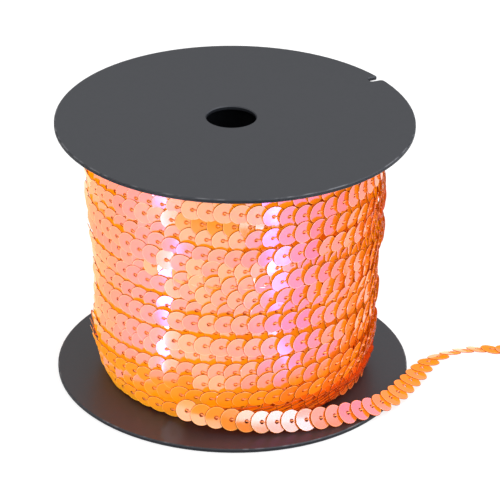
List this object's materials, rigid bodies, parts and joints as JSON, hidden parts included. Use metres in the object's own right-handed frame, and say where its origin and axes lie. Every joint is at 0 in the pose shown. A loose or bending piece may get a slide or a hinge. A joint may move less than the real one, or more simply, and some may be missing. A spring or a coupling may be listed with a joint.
{
  "type": "sequin trim on a spool",
  "caption": "Flat sequin trim wound on a plastic spool with a notched flange, with one loose end lying over the lower flange's rim.",
  "frame": {"origin": "centre of the spool's underside, on the spindle axis", "axes": "+Z along the spool's axis, upwards; +X towards the side where the loose end lies; -Y is the front"},
  "size_m": [0.1366, 0.098, 0.076],
  "materials": {
    "spool_plastic": "satin black",
    "sequins": "glossy translucent orange with a pink iridescent coating",
    "thread": "fine twisted red-brown stitching thread"
  },
  "bodies": {
    "root": {"flange_lower": "spool_plastic", "flange_upper": "spool_plastic", "hub": "spool_plastic", "winding": "sequins", "loose_end": "sequins"}
  },
  "joints": []
}
